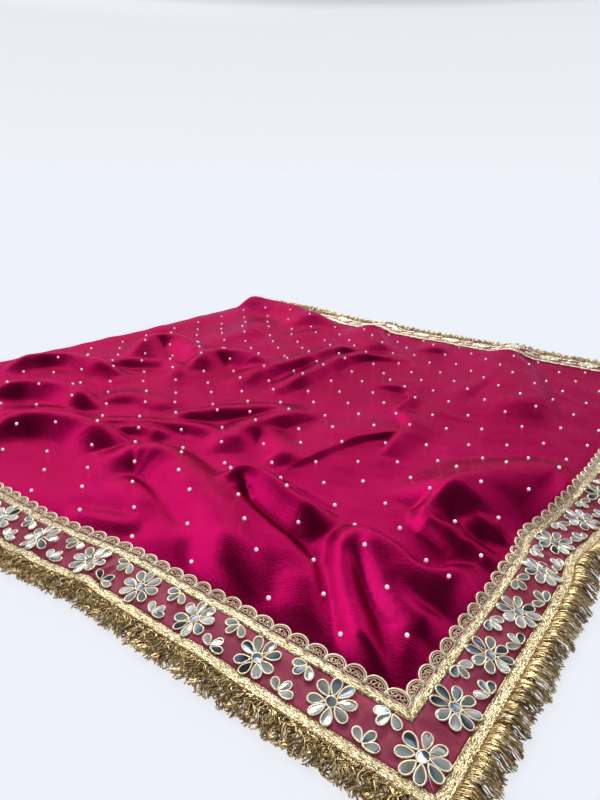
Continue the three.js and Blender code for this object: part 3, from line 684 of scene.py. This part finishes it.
def braid_relief(span):
    def relief(s, e):
        t = (e - span[0]) / (span[1] - span[0])
        return 0.3 * np.sin(math.pi * t) + 0.22 * np.sin(s * 2.3 + 6 * t) * np.cos(4 * math.pi * t)
    return relief


# ---------------------------------------------------------------- mirror work
def drop_outline(points, length, width):
    """A drop with its point towards -a."""
    t = np.arange(points) * 2 * math.pi / points
    return np.stack([-np.cos(t) * length / 2, np.sin(t) * np.sin(t / 2) ** 0.8 * width / 2 * 1.12], 1)


def oval_outline(points, length, width):
    t = np.arange(points) * 2 * math.pi / points
    return np.stack([np.cos(t) * length / 2, np.sin(t) * width / 2], 1)


def mirror_places(side, rng):
    """Rows of centre s, centre e, heading, length, width, whether round."""
    rows = []
    pitch, start = FLOWER_PITCH[side], FLOWER_START[side]
    lo, hi = (NEAR_V + 60, FAR_V - 60) if side == "end" else (FOLD_U + 24, END_U - 60)
    step = pitch if side == "end" else -pitch
    k, flowers = 0, []
    while lo < start + k * step < hi:
        flowers.append(start + k * step)
        k += 1
    if side != "far":
        flowers.append((END_U if side == "near" else FAR_V) - FLOWER_LINE)
    for s in flowers:
        e = FLOWER_LINE + rng.uniform(-0.6, 0.6)
        turn = rng.uniform(0, 0.6)
        rows.append((s, e, rng.uniform(0, 3), *HEART_SIZE, True))
        for i in range(PETALS):
            a = turn + i * 2 * math.pi / PETALS + rng.uniform(-0.07, 0.07)
            r = PETAL_RING + rng.uniform(-0.4, 0.4)
            length = PETAL_SIZE[0] + rng.uniform(-0.7, 0.7)
            width = PETAL_SIZE[1] + rng.uniform(-0.5, 0.4)
            rows.append((s + r * math.cos(a), e + r * math.sin(a), a, length, width, False))
    for s in flowers:
        mid = s + step / 2
        if not lo - 10 < mid < hi + 10:
            continue
        for root_e, sign in LEAF_ROOTS:
            for angle in LEAF_ANGLES:
                a = angle if sign > 0 else angle + math.pi
                a += rng.uniform(-0.12, 0.12)
                leaf_s = mid - sign * 3.5 + LEAF_REACH * math.cos(a)
                leaf_e = root_e + LEAF_REACH * math.sin(a)
                length = LEAF_SIZE[0] + rng.uniform(-0.6, 0.6)
                width = LEAF_SIZE[1] + rng.uniform(-0.4, 0.4)
                rows.append((leaf_s, leaf_e, a, length, width, False))
    return rows


def mirror_work(side):
    """Mirror pieces, each domed and a little tilted, and the cord round each of them; their tones are painted
    reflections, with a painted sheen across each and painted shade at its edge.
    """
    rng = random.Random(SEED + SIDES.index(side))
    faces_v, faces_f, tones, rims, rim_tones = [], [], [], [], []
    offset, n = 0, 16
    for s, e, a, length, width, is_round in mirror_places(side, rng):
        outline = (oval_outline if is_round else drop_outline)(n, length, width)
        c, d = math.cos(a), math.sin(a)
        turned = outline @ np.array([[c, d], [-d, c]])
        tilt = (rng.gauss(0, 0.09), rng.gauss(0, 0.09))
        # Painted reflections: the round heart blue-grey, petals and leaves a tone from the list, far mirrors
        # mid tones, a share painted near black.
        tone = 0.3 if is_round else rng.choice(MIRROR_REFLECTION_TONES)
        if side == "far":
            tone = rng.uniform(0.45, 0.65)
        if not is_round and rng.random() < DARK_REFLECTION_SHARE[side]:
            tone = 0.02 + 0.2 * rng.random()
        pts, lifts = [], []
        for scale, lift in ((0.98, 0.3), (0.86, 1.15), (0.0, 1.3)):
            ring = turned * scale if scale else np.zeros((1, 2))
            pts.append(ring)
            lifts.append(lift + ring @ np.array(tilt))
        pts, lifts = np.concatenate(pts), np.concatenate(lifts)
        base_s, base_e = s + pts[:, 0], e + pts[:, 1]
        faces_v.append(on_side(side, base_s, base_e, lifts + 0.4))
        i = np.arange(n)
        j = (i + 1) % n
        skirt = np.stack([i, j, j + n, i + n], 1)
        dome = np.stack([i + n, j + n, 0 * i + 2 * n], 1)
        faces_f.append((skirt + offset, dome + offset))
        # A painted sheen swings each mirror's tone lighter and darker round it; its outer ring takes tone 0,
        # painted shade under the cord.
        painted_sheen = 0.0 if tone < 0.1 else 0.24 * np.cos(i * 2 * math.pi / n + rng.uniform(0, 6.3))
        tones.append(np.r_[np.zeros(n), np.clip(tone + painted_sheen + np.zeros(n), 0.02, 1.0), tone])
        offset += 2 * n + 1
        rims.append(on_side(side, s + turned[:, 0] * 1.05, e + turned[:, 1] * 1.05, 1.05))
        rim_tones.append(rng.uniform(0.35, 0.75))
    obj = new_object(f"{side}_mirrors", np.concatenate(faces_v),
                     [np.concatenate([f[0] for f in faces_f]), np.concatenate([f[1] for f in faces_f])],
                     mirror, tone=np.concatenate(tones))
    for poly in obj.data.polygons:
        poly.use_smooth = poly.loop_total == 4
    verts, faces = tubes(np.array(rims), RIM_RADIUS[side] * MM, 5, loop=True)
    tone = np.repeat(rim_tones, n * 5)
    rim = new_object(f"{side}_mirror_cords", verts, faces, cord, tone=tone, closed=True)
    return obj, rim


# ---------------------------------------------------------------- scalloped edging
def edging(side):
    """Arches of double cord over a crinkled thread filling."""
    rng = random.Random(SEED + 20 + SIDES.index(side))
    lo, hi = FOLD_U + 6, END_U - SATIN_IN
    if side == "end":
        lo, hi = NEAR_V + SATIN_IN + 8, FAR_V - SATIN_IN - 8
    count = round((hi - lo) / SCALLOP_PITCH)
    pitch = (hi - lo) / count
    t = np.linspace(0, math.pi, 14)
    outer, inner, fill = [], [], []
    for k in range(count):
        mid = lo + (k + 0.5) * pitch
        high = 9.6 + rng.uniform(-0.5, 0.5)
        lean = rng.uniform(-0.5, 0.5)
        for rows, scale, lift in ((outer, 1.0, 1.0), (inner, 0.84, 0.9)):
            s = mid - np.cos(t) * (pitch / 2 + 0.7) * scale + lean * np.sin(t)
            e = 52.6 + high * scale * np.sin(t) ** 0.8
            rows.append(on_side(side, s, e, lift + 0.5 * np.sin(t)))
        q = np.linspace(0, 1, 44)
        wide = np.sin(math.pi * q) ** 0.5
        s = mid + (q - 0.5) * pitch * 0.8 + 1.5 * np.sin(q * 57 + k)
        e = 53.5 + wide * (3.1 + 2.6 * np.sin(q * 44 + 0.5 * k))
        fill.append(on_side(side, s, e, 0.9 + 0.5 * np.sin(q * 71)))
    parts = [tubes(np.array(outer), 0.74 * MM, 5), tubes(np.array(inner), 0.4 * MM, 4),
             tubes(np.array(fill), 0.5 * MM, 3)]
    tone = np.concatenate([np.full(len(v), x) for (v, _), x in zip(parts, (0.75, 0.5, 0.25))])
    verts, faces = joined(parts)
    obj = new_object(f"{side}_scallops", verts, faces, cord, tone=tone, closed=True)
    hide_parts(f"{side}_scalloped_edging")
    return obj


# ---------------------------------------------------------------- fringe
def fringe(side, spacing, points, kink, bundle, hump):
    """Metallic threads caught under the outer braid in bundles, lying out over the floor."""
    rng = np.random.default_rng(SEED + 40 + SIDES.index(side))
    lo, hi = (NEAR_V, FAR_V) if side == "end" else (FOLD_U + 6, END_U)
    root = np.arange(lo + 0.5, hi, spacing)
    count = len(root)
    t = np.linspace(0, 1, points)[None]
    cell = np.floor((root - lo) / bundle)[:, None]
    within = ((root - lo) / bundle)[:, None] - cell

    def per_bundle(low, high):
        return rng.uniform(low, high, int(cell.max()) + 1)[cell.astype(int)]

    def per_thread(low, high):
        return rng.uniform(low, high, (count, 1))

    swell = np.sin(math.pi * within) ** 0.7
    free = np.minimum(1, 3 * t)
    reach = per_bundle(18, 21) + 5.5 * swell + per_thread(-2.0, 1.0)
    lean = per_bundle(-3, 3) + (within - 0.5) * per_bundle(2, 6)
    crimp = np.sin(t * per_bundle(11, 17) + per_bundle(0, 6.3) + per_thread(-0.5, 0.5))
    stray = np.sin(t * per_thread(18, 30) + per_thread(0, 6.3))
    s = root[:, None] + lean * t + kink * (1.1 * crimp + 0.6 * stray) * free
    e = 0.8 - reach * t + 0.5 * kink * np.sin(t * 21 + per_thread(0, 6.3)) * free
    body = hump * (0.35 + swell) * np.sin(math.pi * np.minimum(1, t * 1.1)) ** 0.8
    loft = per_thread(0, 1) ** 2 * 2.6 * np.sin(math.pi * t)
    hem_u, hem_v = (np.clip(a, *lim) for a, lim in
                    zip(SIDE_AT[side](s, 0 * e), ((FOLD_U, END_U), (NEAR_V, FAR_V))))
    top = mix(sample(grid_z, *plan(hem_u, hem_v)) - 0.6, 0.7 + 0 * s, smooth(t * 1.3))
    z = np.maximum(0.55, top + body + loft + 0.8 * kink * np.abs(stray) * free)
    x, y = plan(*SIDE_AT[side](s, e))
    paths = np.stack([x + SHIFT[0], y + SHIFT[1], z], -1) * MM
    parts = [tubes(paths, THREAD_RADIUS[side] * (1 - 0.1 * t) * per_thread(0.75, 1.1) * MM, 3)]
    tones = [np.repeat(rng.uniform(0.0, 1.0, count) ** 1.8, points * 3)]
    # Short dark threads laid below the fringe as painted shade under its bundles and in its gaps.
    if side in SHADE_THREAD_REACH:
        under = np.arange(lo + 1, hi, 2.3)[:, None]
        q = np.linspace(0, 1, 8)[None]
        under_s = under + rng.uniform(-3, 3, under.shape) * q + 0.8 * np.sin(9 * q + under)
        under_e = 0.5 - rng.uniform(*SHADE_THREAD_REACH[side], under.shape) * q
        x, y = plan(*SIDE_AT[side](under_s, under_e))
        under_z = 1.2 + hump * 0.45 * np.sin(math.pi * q) + 0 * under
        under_paths = np.stack([x + SHIFT[0], y + SHIFT[1], under_z], -1) * MM
        parts.append(tubes(under_paths, (1.25 - 0.3 * q) * MM + 0 * under, 3))
        tones.append(np.repeat(rng.uniform(-0.1, 0.25, len(under)), 8 * 3))
    if kink > CURL_KINK:
        parts.append(tubes(curls(side, rng, lo, hi), CURL_RADIUS * MM, 3))
        # Curls take the lightest tone: painted glints.
        tones.append(np.full(len(parts[-1][0]), 1.0))
    verts, faces = joined(parts)
    obj = new_object(f"{side}_fringe_threads", verts, faces, gold, tone=np.concatenate(tones), closed=True)
    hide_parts(f"{side}_fringe")
    return obj


def curls(side, rng, lo, hi):
    """Loose ends curled up over the fringe, in the lightest tone as painted glints."""
    count = int((hi - lo) / CURL_PITCH)
    strands = count * CURL_STRANDS
    t = np.linspace(0, 1, 18)[None]

    def bunched(low, high):
        return np.repeat(rng.uniform(low, high, (count, 1)), CURL_STRANDS, 0)

    def each(low, high):
        return rng.uniform(low, high, (strands, 1))

    at = bunched(lo + 3, hi - 3) + each(-2, 2)
    out = bunched(5, 22) + each(-2, 2)
    high = bunched(3.2, 5.2)
    phase, size = each(0, 6.3), each(0.9, 2.1)
    s = at + size * np.cos(t * 15 + phase) + 3 * (t - 0.5)
    e = -out - size * np.sin(t * 13 + phase)
    z = np.maximum(0.6, high + 1.4 * np.sin(t * 10 + phase))
    if side == "far":
        z = z + FAR_CURL_LIFT
    x, y = plan(*SIDE_AT[side](s, e))
    return np.stack([x + SHIFT[0], y + SHIFT[1], z], -1) * MM


# ---------------------------------------------------------------- stitches and pearls
def stitches(side):
    """Running stitches along both braids and the cord that covers the fringe's roots."""
    parts = []
    for e, lift in STITCH_LINES:
        lo, hi = (NEAR_V + e + 4, FAR_V - e - 4) if side == "end" else (FOLD_U + 8, END_U - e - 4)
        s = np.arange(lo, hi, STITCH_PITCH)[:, None] + np.array([0.0, 1.1, 2.2])[None]
        arch = lift + np.array([-0.25, 0.12, -0.25])[None]
        parts.append(tubes(on_side(side, s, e, arch), STITCH_RADIUS * MM, 3))
    verts, faces = joined(parts)
    obj = new_object(f"{side}_stitches", verts, faces, stitch, tone=np.full(len(verts), 0.3), closed=True)
    return obj


def pearls():
    """Beads over the satin in rows set half a pitch apart, each a little out of its place."""
    rng = random.Random(SEED + 60)
    rows, columns = 6, 10
    a = (np.arange(rows - 1) + 1) * math.pi / rows
    b = np.arange(columns) * 2 * math.pi / columns
    ball = np.stack([np.outer(np.sin(a), np.cos(b)), np.outer(np.sin(a), np.sin(b)),
                     np.outer(np.cos(a), np.ones(columns))], -1).reshape(-1, 3)
    ball = np.concatenate([ball, [[0, 0, 1], [0, 0, -1]]])
    n = np.arange((rows - 1) * columns).reshape(rows - 1, columns)
    m = np.roll(n, -1, 1)
    quads = np.stack([n[:-1], n[1:], m[1:], m[:-1]], -1).reshape(-1, 4)
    tip, foot = len(ball) - 2, len(ball) - 1
    tris = np.concatenate([np.stack([n[0], m[0], np.full(columns, tip)], 1),
                           np.stack([m[-1], n[-1], np.full(columns, foot)], 1)])
    verts, q, t, count = [], [], [], 0
    for row in range(int((FAR_V - SATIN_IN - 12 - PEARL_FROM[1]) / PEARL_ROW) + 1):
        for k in range(int((PEARL_FROM[0] - FOLD_U) / PEARL_PITCH) + 2):
            u = PEARL_FROM[0] + (0.5 * (row % 2) - k) * PEARL_PITCH + rng.uniform(-5, 5)
            v = PEARL_FROM[1] + row * PEARL_ROW + rng.uniform(-4, 4)
            if not FOLD_U + 6 < u < END_U - SATIN_IN - 14:
                continue
            at = place(u, v, PEARL_LIFT)
            verts.append(ball * PEARL_RADIUS * MM * rng.uniform(0.94, 1.06) + at)
            q.append(quads + count * len(ball))
            t.append(tris + count * len(ball))
            count += 1
    obj = new_object("pearls", np.concatenate(verts), [np.concatenate(q), np.concatenate(t)], pearl,
                     closed=True)
    return obj


panel = satin_panel()
layers = folded_layers()
for side in SIDES:
    outer = strip(f"{side}_outer_trim", side, OUTER_BRAID, 0.0, 2.0, 2.2, 9, braid_relief(OUTER_BRAID),
                  braid, f"{side}_outer_braid")
    band = strip(f"{side}_band", side, BAND, -0.3, 1.1, 2.0, 14, band_relief(side), organza,
                 f"{side}_mirror_band")
    inner = strip(f"{side}_inner_trim", side, INNER_BRAID, 0.3, 2.0, 2.2, 8, braid_relief(INNER_BRAID),
                  braid, f"{side}_inner_braid")
    mirrors, rims = mirror_work(side)
    scallops = edging(side)
    threads = fringe(side, *FRINGE[side])
    sewing = stitches(side)
beads = pearls()


# ---------------------------------------------------------------- floor, light and camera
def stage_floor():
    mesh = bpy.data.meshes.new("floor")
    n, radius = 96, 60.0
    turns = [2 * math.pi * i / n for i in range(n)]
    ring = [(radius * math.cos(a), radius * math.sin(a), 0.0) for a in turns]
    mesh.from_pydata(ring, [], [list(range(n))])
    material, tree, shader = new_material(
        "pale_floor", Base_Color=(0.80, 0.81, 0.84, 1), Roughness=1.0, Specular_IOR_Level=0.0,
        Emission_Color=(0.93, 0.965, 1.04, 1), Emission_Strength=0.71)
    mesh.materials.append(material)
    obj = bpy.data.objects.new("floor", mesh)
    bpy.context.scene.collection.objects.link(obj)
    return obj


def softbox(name, heading, distance, height, size, energy, leaves_out=()):
    """A soft light aimed at the saree, heading degrees round from +X; some pieces take none of it."""
    light = bpy.data.lights.new(name, "AREA")
    light.shape, light.size, light.size_y, light.energy = "RECTANGLE", size[0], size[1], energy
    obj = bpy.data.objects.new(name, light)
    a = math.radians(heading)
    obj.location = (distance * math.cos(a), distance * math.sin(a), height)
    obj.rotation_euler = (Vector((0, 0, 0.1)) - obj.location).to_track_quat("-Z", "Y").to_euler()
    obj.visible_camera = False
    bpy.context.scene.collection.objects.link(obj)
    receivers = bpy.data.collections.new(name + "_receivers")
    for k, piece in enumerate(leaves_out):
        receivers.objects.link(piece)
        receivers.collection_objects[k].light_linking.link_state = "EXCLUDE"
    obj.light_linking.receiver_collection = receivers


# brightness of the surroundings: by height, then by how far to the right
WORLD_BY_HEIGHT = [(0.0, 0.90), (0.2, 0.84), (0.23, 0.2), (0.3, 0.26), (0.355, 0.85), (0.385, 2.0),
                   (0.43, 1.9), (0.5, 0.72), (0.62, 0.5), (0.74, 0.2), (0.86, 0.1), (1.0, 0.08)]
WORLD_BY_SIDE = [(0.03, 1.5), (0.08, 1.2), (0.13, 0.95), (0.225, 0.85), (0.4, 0.55), (0.5, 0.45),
                 (0.65, 0.28), (0.8, 0.14)]


def studio_world():
    """Pale all round the horizon; higher up it is lit from the left and dark to the right and overhead."""
    world = bpy.data.worlds.new("studio")
    world.use_nodes = True
    tree = world.node_tree
    where = node(tree, "ShaderNodeTexCoord").outputs["Generated"]
    up = node(tree, "ShaderNodeSeparateXYZ", {}, _0=where).outputs[2]
    shade = ramp(tree, up, [(p, (w * 0.965, w * 0.98, w * (1.05 if w > 0.3 else 0.85)))
                            for p, w in WORLD_BY_HEIGHT])
    tree.links.new(shade, tree.nodes["Background"].inputs[0])
    rightward = node(tree, "ShaderNodeVectorMath", {"operation": "DOT_PRODUCT", 1: (0.95, -0.30, 0.0)},
                     _0=where)
    half = node(tree, "ShaderNodeMath", {"operation": "MULTIPLY_ADD", 1: 0.5, 2: 0.5},
                _0=rightward.outputs["Value"])
    sides = ramp(tree, half.outputs[0], [(p, (w,) * 3) for p, w in WORLD_BY_SIDE])
    above = ramp(tree, up, [(0.18, (0.0,) * 3), (0.32, (1.0,) * 3)])
    both = node(tree, "ShaderNodeMix", {"data_type": "FLOAT", 2: 1.0}, _0=above, _3=sides)
    tree.links.new(both.outputs[0], tree.nodes["Background"].inputs[1])
    bpy.context.scene.world = world


def camera():
    """Looking down across the saree from beyond its near pallu corner."""
    heading, tilt, roll = (math.radians(a) for a in (36.82, 20.44, 0.946))
    at = Vector(((625.2 + SHIFT[0]) * MM, (-819.9 + SHIFT[1]) * MM, 0.376))
    level = math.cos(tilt)
    forward = Vector((-math.sin(heading) * level, math.cos(heading) * level, -math.sin(tilt)))
    right = Vector((math.cos(heading), math.sin(heading), 0))
    up = right.cross(forward)
    x = right * math.cos(roll) + up * math.sin(roll)
    y = up * math.cos(roll) - right * math.sin(roll)
    data = bpy.data.cameras.new("camera")
    data.sensor_width, data.lens, data.clip_start = 36.0, 28.17, 0.01
    obj = bpy.data.objects.new("camera", data)
    bpy.context.scene.collection.objects.link(obj)
    obj.matrix_world = Matrix.Translation(at) @ Matrix((x, y, -forward)).transposed().to_4x4()
    bpy.context.scene.camera = obj


ground = stage_floor()
studio_world()
softbox("window_light", 126.8, 1.9, 0.22, (3.2, 0.4), 1.4, [ground])
softbox("trim_light", 126.8, 1.9, 1.5, (1.6, 1.0), 60.0, [ground, panel])
softbox("top_light", -60.0, 0.6, 2.0, (1.6, 1.6), 22.0, [ground, panel])
camera()
bpy.context.scene.view_settings.view_transform = "Standard"
